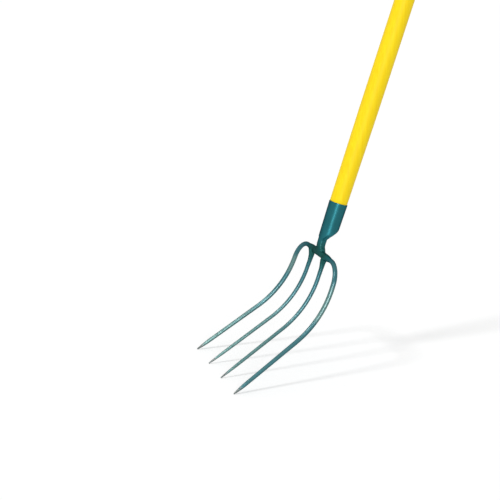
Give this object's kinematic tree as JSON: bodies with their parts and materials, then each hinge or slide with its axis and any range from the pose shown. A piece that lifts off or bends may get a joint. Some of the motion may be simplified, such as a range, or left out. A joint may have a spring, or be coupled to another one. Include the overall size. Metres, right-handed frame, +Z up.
{
  "type": "manure fork",
  "caption": "Long-handled manure fork with slim forward-curved pointed tines on a crown bar, a tapered socket and a sheathed straight handle with a hanging hole.",
  "frame": {"origin": "on the floor under the middle of the bounding box, with the four points on z = 0", "axes": "+X across the tines toward the user's left, -Y the way the points face, +Y the way the handle leans, +Z up"},
  "size_m": [0.2474, 0.6571, 1.4727],
  "materials": {
    "head_paint": "gloss",
    "handle_yellow": "satin",
    "cap_yellow": "satin",
    "fibreglass": "satin",
    "plug_wood": "matte",
    "screw_zinc": "satin"
  },
  "bodies": {
    "root": {"crown": "head_paint", "neck": "head_paint", "socket": "head_paint", "inner_tine_left": "head_paint", "inner_tine_right": "head_paint", "outer_tine_left": "head_paint", "outer_tine_right": "head_paint", "handle_sheath": "handle_yellow", "handle_core": "fibreglass", "core_plug": "plug_wood", "end_cap": "cap_yellow", "handle_screw": "screw_zinc"}
  },
  "joints": []
}
